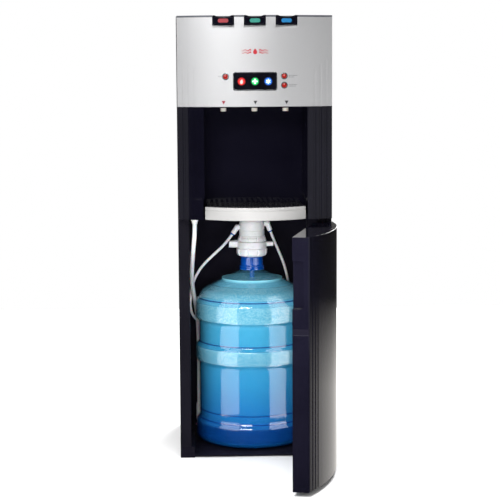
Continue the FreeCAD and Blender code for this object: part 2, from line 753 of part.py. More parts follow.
def probe_collar():
    """Locking ring: notched nut below, rounded belt with two finger wings above."""
    nut = lathe([(COLLAR_BORE, 444), (28, 444), (34, 447.5), (36.4, 452), (36.4, 462),
                 (33.7, 464), (35.7, 467.5), (35.7, 478), (34.5, 479.5), (COLLAR_BORE, 479.5)],
                BOTTLE_X, 0)
    notches = []
    for i in range(COLLAR_NOTCHES):
        a = 2 * math.pi * (i + 0.3) / COLLAR_NOTCHES
        foot = vec(BOTTLE_X + 36.8 * math.cos(a), 36.8 * math.sin(a), 440)
        notches.append(rod(foot, UP, 1.8, 22))
    nut = nut.cut(Part.makeCompound(notches))
    wings = []
    for side in (-1, 1):
        x0, x1 = sorted((BOTTLE_X + side * 24, BOTTLE_X + side * 51.5))
        wings.append(rounded_box(x0, x1, -9, 9, 467.5, 478.5, 3, UP))
    return fuse([nut] + wings)


def probe_body():
    """Valve head: shaft through the collar, drum with a flared foot and a domed top."""
    profile = [(DIP_R - 1.5, 430), (16, 430), (16, 480), (33.4, 480), (34, 481),
               (32.8, 488), (31.4, 489), (30.6, 492.5), (29.6, 493.5), (29.6, 523),
               (27, 530), (20, 536), (DIP_R - 1.5, 538), (DIP_R - 1.5, 500)]
    body = lathe(profile, BOTTLE_X, 0)
    return body.cut(rod(vec(BOTTLE_X, 0, 429), UP, DIP_R + 0.02, 1.0))


# ---- hoses and their fittings --------------------------------------------------------------
FITTING_LEN = 18.0


def toward(start, end):
    """Unit vector from start to end."""
    return vec(*end).sub(vec(*start)).normalize()


def fitting_end(corner, aim):
    end = vec(*corner) + toward(corner, aim) * FITTING_LEN
    return (end.x, end.y, end.z)


# corner of each elbow on the valve head, and the point that its leg and hose aim at
ELBOWS = (((-36, 0, 512.5), (-64, -2, 473)), ((35.5, 0, 521), (52, 16, 478)))

WATER_HOSE = [
    fitting_end(*ELBOWS[0]), ELBOWS[0][1], (-98, -4, 443.5), (-121, 0, 419.5),
    (-135.5, 8, 395), (-142.5, 15, 376), (-147.2, 22, 355), (-149.2, 29, 331),
    (-147.5, 39, 308), (-141, 53, 291), (-129, 73, 277), (-117, 95, 267), (-108, 117, 259),
    (-103, 139, 255),
]
AIR_HOSE = [
    fitting_end(*ELBOWS[1]), ELBOWS[1][1], (65, 26, 448.5), (76.5, 43, 420), (85.5, 66, 388),
    (92, 92, 359), (97, 115, 343), (99, 139, 334),
]
DRAIN_HOSE = [
    (-135.5, -152, 537), (-135.5, -152, 515), (-138.5, -146, 486), (-141.3, -118, 452),
    (-143.6, -75, 417), (-143.5, -30, 385), (-140.5, 10, 353), (-136, 40, 324),
    (-133, 68, 297), (-131, 92, 268), (-130, 114, 232), (-129.5, 127, 188),
    (-129.4, 130.6, 142), (-130, 132, 100), (-130, 132, 62),
]


def hose_fittings():
    head = rod(vec(BOTTLE_X, 0, 490), UP, 29.65, 40)
    elbows = []
    for corner, aim in ELBOWS:
        side = -1 if corner[0] < 0 else 1
        x_root = BOTTLE_X + side * 26
        arm = rod(vec(x_root, 0, corner[2]), TO_RIGHT * side, 6.5, abs(corner[0] - x_root))
        knee = Part.makeSphere(6.5, vec(*corner))
        leg = rod(vec(*corner), toward(corner, aim), 6.0, FITTING_LEN)
        elbows.append(fuse([arm.cut(head), knee.cut(head), leg.cut(head)]))
    return elbows


def fitting_collets():
    rings = []
    for corner, aim in ELBOWS:
        start = vec(*fitting_end(corner, aim))
        rings.append(ring(start, toward(corner, aim), 5.2, HOSE_R + 0.25, 3.5))
    return rings


def hose_gland():
    """Flared gland in the deck that the drain hose hangs from."""
    flare = lathe([(5.3, 541), (6.4, 537), (6.4, 541), (10.6, 549), (10.6, 551), (5.3, 551)],
                  -135.5, -152)
    stub = ring(vec(-135.5, -152, 551), UP, 6.8, 5.3, 14)
    mouth = ring(vec(-135.5, -152, 537), UP, 6.4, 4.2, 4)
    return fuse([flare, stub, mouth])


def wall_fittings():
    """Where the hoses end: two stubs in the back wall and a drain spigot on the floor."""
    stubs = []
    for route in (WATER_HOSE, AIR_HOSE):
        end = vec(*route[-1])
        body = rod(end, toward(route[-2], route[-1]), 6.5, 7)
        flange = rod(vec(end.x, 144, end.z), TO_BACK, 11, 4.5)
        stubs.append(fuse([body, flange]))
    spigot = rod(vec(-130, 132, FLOOR_TOP), UP, 7, 56.5)
    foot = rod(vec(-130, 132, FLOOR_TOP), UP, 8, 4)
    stubs.append(fuse([spigot, foot]))
    return stubs


# ---- write every node ---------------------------------------------------------------------
save("base_tray", base_tray())
save("side_panel_left", side_panel(-1))
save("side_panel_right", side_panel(1))
save("post_left", post_left())
save("post_right", post_right())
save("compartment_liner", compartment_liner())
save("machine_deck", machine_deck())
save("hinge_brackets", hinge_brackets())

save("door_panel", turn_open(door_panel()))
save("door_liner", turn_open(door_liner()))
save("door_catch", [turn_open(piece) for piece in door_catch()])

save("bay_surround", bay_surround())
save("tray_housing", tray_housing())
save("tray_front", tray_front())
save("tray_basin", tray_basin())
save("drip_grille", drip_grille())
save("control_fascia", control_fascia())
save("top_cover", top_cover())
for word, outlet_x in zip(("hot", "room", "cold"), OUTLET_X):
    save("button_" + word, button(outlet_x))
    save("label_" + word, button_label(outlet_x))
save("display_bezel", display_bezel())
save("display_window", display_window())
save("lamp_bezels", lamp_bezels())
save("lamp_lenses", lamp_lenses())
save("nozzles", nozzles())
save("outlet_valves", outlet_valves())
save("switch_bar", switch_bar())
save("control_board", control_board())

save("hot_tank", tank(HOT_TANK))
save("cold_tank", tank(COLD_TANK))
save("tank_shelf", tank_shelf())
save("compressor", compressor())
save("compressor_feet", compressor_feet())
save("pump", pump())

save("rear_panel", rear_panel())
save("rocker_frames", rocker_frames())
save("rocker_hot", rocker(ROCKER_X[0]))
save("rocker_cold", rocker(ROCKER_X[1]))
save("power_inlet", power_inlet())
save("drain_plug", drain_plug())
save("condenser", condenser())
save("screws", screws())

save("water_bottle", water_bottle())
save("water", water())
save("neck_cap", neck_cap())
save("dip_tube", dip_tube())
save("probe_collar", probe_collar())
save("probe_body", probe_body())
save("hose_fittings", hose_fittings())
save("fitting_collets", fitting_collets())

save("hose_gland", hose_gland())
save("wall_fittings", wall_fittings())
save("water_hose", tube_along(WATER_HOSE, HOSE_R))
save("air_hose", tube_along(AIR_HOSE, HOSE_R))
save("drain_hose", tube_along(DRAIN_HOSE, DRAIN_HOSE_R))
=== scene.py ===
"""Looks of a bottom-loading water dispenser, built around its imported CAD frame.

Metres, +Z up, the front faces -Y. Places come from the frame's boxes; the few sizes that the frame
does not give are named below.
"""

import json
import math
import random

import bmesh
import bpy
from mathutils import Matrix, Vector


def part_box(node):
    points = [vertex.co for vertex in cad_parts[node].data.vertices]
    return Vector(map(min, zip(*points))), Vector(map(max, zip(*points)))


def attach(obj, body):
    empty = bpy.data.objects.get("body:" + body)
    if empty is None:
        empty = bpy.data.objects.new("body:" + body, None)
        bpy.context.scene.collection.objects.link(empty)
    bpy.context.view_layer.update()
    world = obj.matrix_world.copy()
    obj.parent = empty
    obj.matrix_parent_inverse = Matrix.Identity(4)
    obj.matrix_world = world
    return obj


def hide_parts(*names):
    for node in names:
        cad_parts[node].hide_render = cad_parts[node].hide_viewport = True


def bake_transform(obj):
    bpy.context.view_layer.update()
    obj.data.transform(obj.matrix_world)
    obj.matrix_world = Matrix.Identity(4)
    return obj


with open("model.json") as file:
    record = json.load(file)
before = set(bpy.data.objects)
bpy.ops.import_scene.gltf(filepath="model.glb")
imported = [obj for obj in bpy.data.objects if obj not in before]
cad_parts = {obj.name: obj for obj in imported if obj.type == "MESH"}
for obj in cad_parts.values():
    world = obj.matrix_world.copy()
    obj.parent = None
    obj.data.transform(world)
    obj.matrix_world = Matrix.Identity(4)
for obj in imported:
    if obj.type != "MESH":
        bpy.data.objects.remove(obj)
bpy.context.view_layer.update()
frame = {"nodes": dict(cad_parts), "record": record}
nodes = frame["nodes"]
random.seed(7)

MM = 0.001

# ---- driving dimensions ---------------------------------------------------------------------
FRONT_R = 500 * MM            # plan radius of the bowed front
FRONT_MID_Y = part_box("control_fascia")[0].y
OUTLET_X = (-69 * MM, 0.0, 69 * MM)
BOTTLE_X = -1.5 * MM
PRINT_LIFT = 0.12 * MM        # how far a print stands off the panel

WATER_HOSE_D = 6.5 * MM
DRAIN_HOSE_D = 10.0 * MM

# Routes of the three hoses: the control points of the CAD tubes, in millimetres.
WATER_HOSE = (
    (-46.40, -0.74, 497.83), (-64, -2, 473), (-98, -4, 443.5), (-121, 0, 419.5), (-135.5, 8, 395),
    (-142.5, 15, 376), (-147.2, 22, 355), (-149.2, 29, 331), (-147.5, 39, 308), (-141, 53, 291),
    (-129, 73, 277), (-117, 95, 267), (-108, 117, 259), (-103, 139, 255),
)
AIR_HOSE = (
    (41.59, 5.91, 505.13), (52, 16, 478), (65, 26, 448.5), (76.5, 43, 420), (85.5, 66, 388),
    (92, 92, 359), (97, 115, 343), (99, 139, 334),
)
DRAIN_HOSE = (
    (-135.5, -152, 537), (-135.5, -152, 515), (-138.5, -146, 486), (-141.3, -118, 452),
    (-143.6, -75, 417), (-143.5, -30, 385), (-140.5, 10, 353), (-136, 40, 324), (-133, 68, 297),
    (-131, 92, 268), (-130, 114, 232), (-129.5, 127, 188), (-129.4, 130.6, 142), (-130, 132, 100),
    (-130, 132, 62),
)


# ---- camera ---------------------------------------------------------------------------------
CAMERA_AT = Vector((-0.1203, -3.4263, 0.8636))
CAMERA_YAW = 0.0344           # to the right
CAMERA_PITCH = 0.1188         # downwards
CAMERA_ROLL = 0.0056
CAMERA_LENS = 104.38


def make_camera():
    level = Vector((math.sin(CAMERA_YAW), math.cos(CAMERA_YAW), 0))
    right = Vector((math.cos(CAMERA_YAW), -math.sin(CAMERA_YAW), 0))
    down = Vector((0, 0, -1))
    forward = level * math.cos(CAMERA_PITCH) + down * math.sin(CAMERA_PITCH)
    up = level * math.sin(CAMERA_PITCH) - down * math.cos(CAMERA_PITCH)
    screen_x = math.cos(CAMERA_ROLL) * right - math.sin(CAMERA_ROLL) * up
    screen_y = math.sin(CAMERA_ROLL) * right + math.cos(CAMERA_ROLL) * up
    data = bpy.data.cameras.new("camera")
    data.lens = CAMERA_LENS
    data.sensor_width = 36
    data.clip_end = 60
    camera = bpy.data.objects.new("camera", data)
    bpy.context.scene.collection.objects.link(camera)
    turn = Matrix((screen_x, screen_y, -forward)).transposed().to_4x4()
    camera.matrix_world = Matrix.Translation(CAMERA_AT) @ turn
    bpy.context.scene.camera = camera


make_camera()


# ---- shader helpers -------------------------------------------------------------------------
MIX_COLOUR_INPUTS = (6, 7)    # the Mix node's colour sockets, which share their names
MIX_COLOUR_OUTPUT = 2


def link(tree, source, target):
    tree.links.new(source, target)


def object_space(tree, stretch=(1, 1, 1)):
    """Coordinates fixed to the object, in metres, stretched along an axis for brushed finishes."""
    coordinates = tree.nodes.new("ShaderNodeTexCoord")
    mapping = tree.nodes.new("ShaderNodeMapping")
    mapping.inputs["Scale"].default_value = stretch
    link(tree, coordinates.outputs["Object"], mapping.inputs["Vector"])
    return mapping.outputs["Vector"]


def noise(tree, vector, scale, detail=3.0, roughness=0.5):
    node = tree.nodes.new("ShaderNodeTexNoise")
    node.inputs["Scale"].default_value = scale
    node.inputs["Detail"].default_value = detail
    node.inputs["Roughness"].default_value = roughness
    link(tree, vector, node.inputs["Vector"])
    return node.outputs["Fac"]


def spread(tree, value, low, high, source_low=0.3, source_high=0.7):
    """Maps a value from its source range to another range, clamped at both ends."""
    node = tree.nodes.new("ShaderNodeMapRange")
    node.inputs["From Min"].default_value = source_low
    node.inputs["From Max"].default_value = source_high
    node.inputs["To Min"].default_value = low
    node.inputs["To Max"].default_value = high
    link(tree, value, node.inputs["Value"])
    return node.outputs["Result"]


def blended(tree, value, first, second):
    """Mix of two colours, each of them a socket or a plain colour."""
    node = tree.nodes.new("ShaderNodeMix")
    node.data_type = "RGBA"
    for index, source in zip(MIX_COLOUR_INPUTS, (first, second)):
        if isinstance(source, tuple):
            node.inputs[index].default_value = (*source, 1)
        else:
            link(tree, source, node.inputs[index])
    link(tree, value, node.inputs["Factor"])
    return node.outputs[MIX_COLOUR_OUTPUT]


def combined(tree, operation, values, clamp=True):
    """Sum or product of several values."""
    total = values[0]
    for value in values[1:]:
        node = tree.nodes.new("ShaderNodeMath")
        node.operation = operation
        node.use_clamp = clamp
        link(tree, total, node.inputs[0])
        link(tree, value, node.inputs[1])
        total = node.outputs["Value"]
    return total


def cells(tree, vector, scale):
    """Distance to the nearest of many scattered points."""
    node = tree.nodes.new("ShaderNodeTexVoronoi")
    node.inputs["Scale"].default_value = scale
    link(tree, vector, node.inputs["Vector"])
    return node.outputs["Distance"]


def bump(tree, height, distance, strength=1.0, edge=0.0):
    node = tree.nodes.new("ShaderNodeBump")
    node.inputs["Strength"].default_value = strength
    node.inputs["Distance"].default_value = distance
    link(tree, height, node.inputs["Height"])
    if edge:
        bevel = tree.nodes.new("ShaderNodeBevel")
        bevel.samples = 4
        bevel.inputs["Radius"].default_value = edge
        link(tree, bevel.outputs["Normal"], node.inputs["Normal"])
    return node.outputs["Normal"]


def start_material(name):
    material = bpy.data.materials.new(name)
    material.use_nodes = True
    shader = material.node_tree.nodes["Principled BSDF"]
    return material, material.node_tree, shader


def moulded(name, colour, tint=0.12, roughness=(0.25, 0.35), cloud=9.0, grain=900.0,
            grain_depth=0.02 * MM, edge=0.0, coat=0.0, metallic=0.0, stretch=(1, 1, 1),
            specular=0.5, subsurface=0.0):
    """General procedural finish: cloudy tint, uneven gloss and a fine grain."""
    material, tree, shader = start_material(name)
    where = object_space(tree, stretch)
    cloudy = spread(tree, noise(tree, where, cloud, 4), 0, 1)
    dark = tuple(c * (1 - tint) for c in colour)
    light = tuple(min(c * (1 + tint) + tint * 0.004, 1) for c in colour)
    link(tree, blended(tree, cloudy, dark, light), shader.inputs["Base Color"])
    patchy = noise(tree, where, cloud * 3.1, 5, 0.6)
    link(tree, spread(tree, patchy, *roughness), shader.inputs["Roughness"])
    fine = noise(tree, where, grain, 2)
    link(tree, bump(tree, fine, grain_depth, 1.0, edge), shader.inputs["Normal"])
    shader.inputs["Metallic"].default_value = metallic
    shader.inputs["Coat Weight"].default_value = coat
    shader.inputs["Coat Roughness"].default_value = 0.04
    shader.inputs["Specular IOR Level"].default_value = specular
    if subsurface:
        shader.inputs["Subsurface Weight"].default_value = subsurface
        shader.inputs["Subsurface Scale"].default_value = 2 * MM
    return material


# ---- materials ------------------------------------------------------------------------------
def gloss_black():
    """High-gloss moulded plastic: a faint flow line and fine polishing marks."""
    return moulded("gloss_black", (0.0035, 0.0032, 0.0075), 0.25, (0.04, 0.09), 6, 160,
                   0.03 * MM, 0.7 * MM)


def satin_black():
    """Fine spark-eroded texture."""
    return moulded("satin_black", (0.0045, 0.0042, 0.008), 0.2, (0.34, 0.46), 14, 2200,
                   0.03 * MM, 0.5 * MM, specular=0.35)


def powder_black():
    return moulded("powder_black", (0.005, 0.0045, 0.008), 0.15, (0.35, 0.39), 10, 1500,
                   0.04 * MM, 0.5 * MM, specular=0.16)


def liner_black():
    """Dull lining of the bottle compartment."""
    return moulded("liner_black", (0.0042, 0.0036, 0.0085), 0.2, (0.5, 0.65), 12, 1500,
                   0.04 * MM, 0.5 * MM, specular=0.12)


def silver_paint():
    """Metallic paint over plastic: tiny flakes and a satin clear layer."""
    material, tree, shader = start_material("silver_paint")
    where = object_space(tree)
    flakes = spread(tree, noise(tree, where, 3800, 1), 0, 1, 0.35, 0.65)
    link(tree, blended(tree, flakes, (0.52, 0.52, 0.53), (0.68, 0.68, 0.69)),
         shader.inputs["Base Color"])
    link(tree, spread(tree, noise(tree, where, 5, 3), 0.36, 0.44), shader.inputs["Roughness"])
    link(tree, bump(tree, noise(tree, where, 420, 3), 0.012 * MM, 1, 0.35 * MM),
         shader.inputs["Normal"])
    shader.inputs["Metallic"].default_value = 0.55
    shader.inputs["Coat Weight"].default_value = 0.25
    shader.inputs["Coat Roughness"].default_value = 0.22
    return material


def light_trim():
    return moulded("light_trim", (0.40, 0.395, 0.39), 0.05, (0.3, 0.38), 20, 1300, 0.01 * MM,
                   0.4 * MM, coat=0.1)


def lid_grey():
    return moulded("lid_grey", (0.09, 0.095, 0.11), 0.15, (0.34, 0.46), 12, 1800, 0.04 * MM,
                   0.5 * MM)


def window_black():
    return moulded("window_black", (0.004, 0.004, 0.007), 0.3, (0.04, 0.07), 30, 300, 0.004 * MM,
                   0.3 * MM)


def bright_trim():
    return moulded("bright_trim", (0.72, 0.73, 0.76), 0.05, (0.16, 0.24), 60, 900, 0.006 * MM,
                   0.2 * MM, metallic=0.9)


def lamp_red():
    """Clear red lens, lighter in its middle."""
    material, tree, shader = start_material("lamp_red")
    where = object_space(tree)
    facets = cells(tree, where, 700)
    tone = spread(tree, facets, 0, 1, 0.1, 0.7)
    link(tree, blended(tree, tone, (0.50, 0.02, 0.012), (0.22, 0.004, 0.003)),
         shader.inputs["Base Color"])
    link(tree, spread(tree, noise(tree, where, 200), 0.08, 0.14), shader.inputs["Roughness"])
    link(tree, bump(tree, facets, 0.08 * MM, 0.5), shader.inputs["Normal"])
    shader.inputs["Coat Weight"].default_value = 1
    shader.inputs["Emission Color"].default_value = (0.9, 0.06, 0.03, 1)
    shader.inputs["Emission Strength"].default_value = 0.03
    return material


def label_material(name, colour):
    return moulded(name, colour, 0.12, (0.25, 0.34), 90, 1500, 0.01 * MM, 0.3 * MM, coat=0.4)


def cream_plastic():
    return moulded("cream_plastic", (0.80, 0.76, 0.68), 0.05, (0.26, 0.36), 40, 1200, 0.012 * MM,
                   0.4 * MM, subsurface=0.15)


def white_plastic():
    return moulded("white_plastic", (0.84, 0.84, 0.86), 0.04, (0.24, 0.34), 45, 1200, 0.012 * MM,
                   0.4 * MM, subsurface=0.15)


def hose_white():
    """Milky tube: smooth skin with slow cloudiness."""
    return moulded("hose_white", (0.80, 0.81, 0.83), 0.05, (0.2, 0.3), 70, 700, 0.01 * MM,
                   subsurface=0.3)


def brushed_steel():
    return moulded("brushed_steel", (0.52, 0.53, 0.55), 0.12, (0.22, 0.4), 30, 500, 0.02 * MM,
                   0.3 * MM, metallic=1.0, stretch=(1, 1, 14))


def brass_parts():
    return moulded("brass_parts", (0.62, 0.42, 0.17), 0.15, (0.2, 0.36), 60, 900, 0.015 * MM,
                   0.3 * MM, metallic=1.0)


def rubber_black():
    return moulded("rubber_black", (0.02, 0.02, 0.021), 0.2, (0.6, 0.8), 50, 1800, 0.06 * MM)


def circuit_board():
    """Green solder mask with lighter tracks in a grid."""
    material, tree, shader = start_material("circuit_board")
    where = object_space(tree)
    tracks = tree.nodes.new("ShaderNodeTexBrick")
    tracks.inputs["Scale"].default_value = 120
    tracks.inputs["Mortar Size"].default_value = 0.04
    tracks.inputs["Color1"].default_value = (0.01, 0.13, 0.05, 1)
    tracks.inputs["Color2"].default_value = (0.012, 0.1, 0.045, 1)
    tracks.inputs["Mortar"].default_value = (0.05, 0.3, 0.12, 1)
    link(tree, where, tracks.inputs["Vector"])
    link(tree, tracks.outputs["Color"], shader.inputs["Base Color"])
    link(tree, spread(tree, noise(tree, where, 80), 0.25, 0.45), shader.inputs["Roughness"])
    link(tree, bump(tree, tracks.outputs["Fac"], 0.05 * MM, 0.5), shader.inputs["Normal"])
    return material


def zone(tree, height, low, high, soft):
    """1 between two heights, fading to 0 over a soft distance on either side."""
    rise = spread(tree, height, 0, 1, low - soft, low)
    fall = spread(tree, height, 1, 0, high, high + soft)
    return combined(tree, "MULTIPLY", [rise, fall], False)


def height_of(tree, where):
    split = tree.nodes.new("ShaderNodeSeparateXYZ")
    link(tree, where, split.inputs["Vector"])
    return split.outputs["Z"]


TEXTURED = ((22 * MM, 54 * MM), (203.5 * MM, 235 * MM), (301.3 * MM, 338.5 * MM),
            (355 * MM, 378 * MM))     # pebbled bands of the bottle, low and high
WATER_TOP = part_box("water")[1].z
RIB_SHADE_LINES = (64 * MM, 84 * MM, 246 * MM, 349 * MM)    # painted shade lines at the ribs; the shell is also more opaque there


def bottle_blue():
    """Tinted clear polycarbonate with painted light: painted glints on the pebbled bands, painted
    shade lines at the ribs and painted shade deepening the blue towards the bottom.
    """
    material, tree, shader = start_material("bottle_blue")
    where = object_space(tree)
    height = height_of(tree, where)
    bands = combined(tree, "ADD", [zone(tree, height, low, high, 1.5 * MM)
                                   for low, high in TEXTURED])
    ribs = combined(tree, "ADD", [zone(tree, height, z - 0.5 * MM, z + 0.5 * MM, 1.2 * MM)
                                  for z in RIB_SHADE_LINES])
    pebbles = cells(tree, where, 400)
    # painted glints: each pebble gets a lit colour at its centre and a shaded colour at its edge
    painted_glint = spread(tree, pebbles, 0, 1, 0.1, 0.6)
    # painted shade: the colour deepens towards the bottom and pales towards the top, in the bands
    # as well as between them
    level = spread(tree, height, 0, 1, 0.02, 0.40)
    upper = spread(tree, height, 0, 1, 0.05, 0.24)
    wall_with_painted_shade = blended(tree, level, (0.005, 0.15, 0.52), (0.16, 0.55, 0.78))
    light = blended(tree, upper, (0.01, 0.14, 0.46), (0.48, 0.82, 0.90))
    dark = blended(tree, upper, (0.0, 0.03, 0.20), (0.12, 0.47, 0.66))
    bands_with_painted_glints = blended(tree, painted_glint, light, dark)
    colour = blended(tree, bands, wall_with_painted_shade, bands_with_painted_glints)
    # painted shade: dark blue lines at the ribs, where the grooves bend light away
    colour = blended(tree, ribs, colour, (0.0, 0.035, 0.30))
    link(tree, colour, shader.inputs["Base Color"])
    link(tree, spread(tree, bands, 0.05, 0.2, 0, 1), shader.inputs["Roughness"])
    relief = combined(tree, "MULTIPLY", [pebbles, bands])
    wavy = combined(tree, "ADD", [relief, noise(tree, where, 30, 2)], False)
    link(tree, bump(tree, wavy, 0.7 * MM, 0.35), shader.inputs["Normal"])
    base = spread(tree, height, 0.24, 0.10, WATER_TOP - 1 * MM, WATER_TOP + 2 * MM)
    opaque = combined(tree, "ADD", [base, spread(tree, bands, 0.0, 0.36, 0, 1),
                                    spread(tree, ribs, 0.0, 0.5, 0, 1)])
    link(tree, opaque, shader.inputs["Alpha"])
    shader.inputs["Coat Weight"].default_value = 1
    shader.inputs["Coat Roughness"].default_value = 0.03
    shader.inputs["IOR"].default_value = 1.55
    return material


def water_clear():
    """Water seen through the bottle, with painted shade: pale cyan above, deepening to dark blue
    at the bottom.
    """
    material, tree, shader = start_material("water_clear")
    where = object_space(tree)
    level = spread(tree, height_of(tree, where), 0, 1, 0.0, 0.39)
    ramp = tree.nodes.new("ShaderNodeValToRGB")
    # painted shade: the ramp darkens the water towards the bottom
    painted_shade_stops = ((0.0, (0.001, 0.025, 0.14)), (0.13, (0.001, 0.045, 0.25)), (0.2, (0.005, 0.19, 0.50)),
             (0.4, (0.012, 0.36, 0.62)), (0.72, (0.03, 0.48, 0.70)), (1.0, (0.26, 0.70, 0.84)))
    ramp.color_ramp.elements[0].color = (*painted_shade_stops[0][1], 1)
    ramp.color_ramp.elements[1].color = (*painted_shade_stops[-1][1], 1)
    for place, colour in painted_shade_stops[1:-1]:
        ramp.color_ramp.elements.new(place).color = (*colour, 1)
    link(tree, level, ramp.inputs["Fac"])
    link(tree, ramp.outputs["Color"], shader.inputs["Base Color"])
    link(tree, spread(tree, noise(tree, where, 25), 0.05, 0.12), shader.inputs["Roughness"])
    link(tree, bump(tree, noise(tree, where, 18, 2), 1.0 * MM, 0.3), shader.inputs["Normal"])
    shader.inputs["Alpha"].default_value = 0.85
    shader.inputs["Specular IOR Level"].default_value = 0.3
    return material


def deep_blue():
    return moulded("deep_blue", (0.0005, 0.065, 0.36), 0.25, (0.08, 0.14), 60, 900, 0.01 * MM,
                   0.3 * MM, coat=1.0)


def print_ink(name, colour, glow=0.0):
    material, tree, shader = start_material(name)
    where = object_space(tree)
    specks = spread(tree, noise(tree, where, 2600, 2), 0, 1)
    dark = tuple(c * 0.8 for c in colour)
    link(tree, blended(tree, specks, dark, colour), shader.inputs["Base Color"])
    link(tree, spread(tree, noise(tree, where, 900, 2), 0.35, 0.5), shader.inputs["Roughness"])
    if glow:
        link(tree, blended(tree, specks, dark, colour), shader.inputs["Emission Color"])
        shader.inputs["Emission Strength"].default_value = glow
    return material


def floor_white():
    material, tree, shader = start_material("floor_white")
    where = object_space(tree)
    cloudy = spread(tree, noise(tree, where, 0.6, 3), 0, 1)
    link(tree, blended(tree, cloudy, (0.93, 0.93, 0.935), (0.96, 0.96, 0.96)),
         shader.inputs["Base Color"])
    shader.inputs["Roughness"].default_value = 0.75
    shader.inputs["Specular IOR Level"].default_value = 0.2
    return material


MATERIALS = {
    "gloss_black": gloss_black(),
    "satin_black": satin_black(),
    "painted_black": powder_black(),
    "liner_black": liner_black(),
    "silver_panel": silver_paint(),
    "light_trim": light_trim(),
    "lid_grey": lid_grey(),
    "label_red": label_material("label_red", (0.34, 0.03, 0.04)),
    "label_green": label_material("label_green", (0.03, 0.27, 0.21)),
    "label_blue": label_material("label_blue", (0.015, 0.17, 0.40)),
    "window_black": window_black(),
    "bright_trim": bright_trim(),
    "lens_red": lamp_red(),
    "cream_plastic": cream_plastic(),
    "white_plastic": white_plastic(),
    "hose_white": hose_white(),
    "steel": brushed_steel(),
    "brass_parts": brass_parts(),
    "board_green": circuit_board(),
    "rubber_black": rubber_black(),
    "bottle_blue": bottle_blue(),
    "water_clear": water_clear(),
    "deep_blue": deep_blue(),
}


# ---- mesh helpers ---------------------------------------------------------------------------
def add_piece(name, mesh, material, body, replaced=(), crease=35):
    mesh.shade_smooth()
    mesh.set_sharp_from_angle(angle=math.radians(crease))
    mesh.materials.append(material)
    piece = bpy.data.objects.new(name, mesh)
    bpy.context.scene.collection.objects.link(piece)
    if body:
        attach(piece, body)
    if replaced:
        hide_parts(*replaced)
    return piece


def mesh_of(name, vertices, faces):
    mesh = bpy.data.meshes.new(name)
    mesh.from_pydata(vertices, [], faces)
    work = bmesh.new()
    work.from_mesh(mesh)
    bmesh.ops.recalc_face_normals(work, faces=work.faces)
    work.to_mesh(mesh)
    work.free()
    mesh.update()
    return mesh


def rounded(points, radius, steps=4):
    """Outline with each inner corner turned into a short curve."""
    result = [tuple(points[0])]
    for before, corner, after in zip(points, points[1:], points[2:]):
        here = Vector(corner)
        back = Vector(before) - here
        ahead = Vector(after) - here
        reach = min(radius, back.length / 2.1, ahead.length / 2.1)
        start = here + back.normalized() * reach
        end = here + ahead.normalized() * reach
        for i in range(steps + 1):
            t = i / steps
            result.append(tuple((1 - t) ** 2 * start + 2 * t * (1 - t) * here + t * t * end))
    result.append(tuple(points[-1]))
    return result


def refined(points, longest):
    """Outline with long straight runs split, so that relief can be worked into them."""
    result = [tuple(points[0])]
    for start, end in zip(points, points[1:]):
        a = Vector(start)
        b = Vector(end)
        count = max(1, math.ceil((b - a).length / longest))
        for i in range(1, count + 1):
            result.append(tuple(a.lerp(b, i / count)))
    return result


def lathe_mesh(name, profile, centre, segments, closed=False, relief=None):
    """Revolves (radius, z) points in millimetres about a vertical line through centre."""
    vertices = []
    rings = []
    for index, (radius, z) in enumerate(profile):
        if radius < 1e-6:
            rings.append([len(vertices)])
            vertices.append((centre[0], centre[1], z * MM))
            continue
        ring = []
        for i in range(segments):
            angle = 2 * math.pi * i / segments
            r = radius - (relief(index, angle, radius, z) if relief else 0)
            ring.append(len(vertices))
            vertices.append((centre[0] + r * MM * math.cos(angle),
                             centre[1] + r * MM * math.sin(angle), z * MM))
        rings.append(ring)
    pairs = list(zip(rings, rings[1:]))
    if closed:
        pairs.append((rings[-1], rings[0]))
    faces = []
    for low, high in pairs:
        if len(low) == 1 and len(high) == 1:
            continue
        for i in range(segments):
            j = (i + 1) % segments
            if len(low) == 1:
                faces.append((low[0], high[j], high[i]))
            elif len(high) == 1:
                faces.append((low[i], low[j], high[0]))
            else:
                faces.append((low[i], low[j], high[j], high[i]))
    return mesh_of(name, vertices, faces)


def bow_y(x):
    return FRONT_MID_Y + FRONT_R - math.sqrt(FRONT_R ** 2 - x ** 2)


def on_front(x, z, lift=PRINT_LIFT):
    """Point on the bowed front at x, z in metres, lifted off it."""
    return (x, bow_y(x) - lift, z)


def front_patch(vertices, faces, outline, lift, thickness):
    """Adds a thin closed plate with this outline to the lists, wrapped on the bowed front."""
    base = len(vertices)
    count = len(outline)
    for x, z in outline:
        vertices.append(on_front(x, z, lift))
    for x, z in outline:
        vertices.append(on_front(x, z, lift - thickness))
    faces.append(tuple(range(base, base + count)))
    faces.append(tuple(range(base + 2 * count - 1, base + count - 1, -1)))
    for i in range(count):
        j = (i + 1) % count
        faces.append((base + i, base + count + i, base + count + j, base + j))


def front_print(name, outlines, material, body, lift=PRINT_LIFT, thickness=0.2 * MM):
    vertices = []
    faces = []
    for outline in outlines:
        front_patch(vertices, faces, outline, lift, thickness)
    return add_piece(name, mesh_of(name, vertices, faces), material, body)


def circle(x, z, radius, count=40):
    turn = 2 * math.pi / count
    return [(x + radius * math.cos(turn * i), z + radius * math.sin(turn * i))
            for i in range(count)]


def bar(x0, x1, z0, z1):
    """Rectangle, split along x so that it follows the bow."""
    count = max(2, int((x1 - x0) / (3 * MM)))
    low = [(x0 + (x1 - x0) * i / count, z0) for i in range(count + 1)]
    high = [(x, z1) for x, _ in reversed(low)]
    return low + high


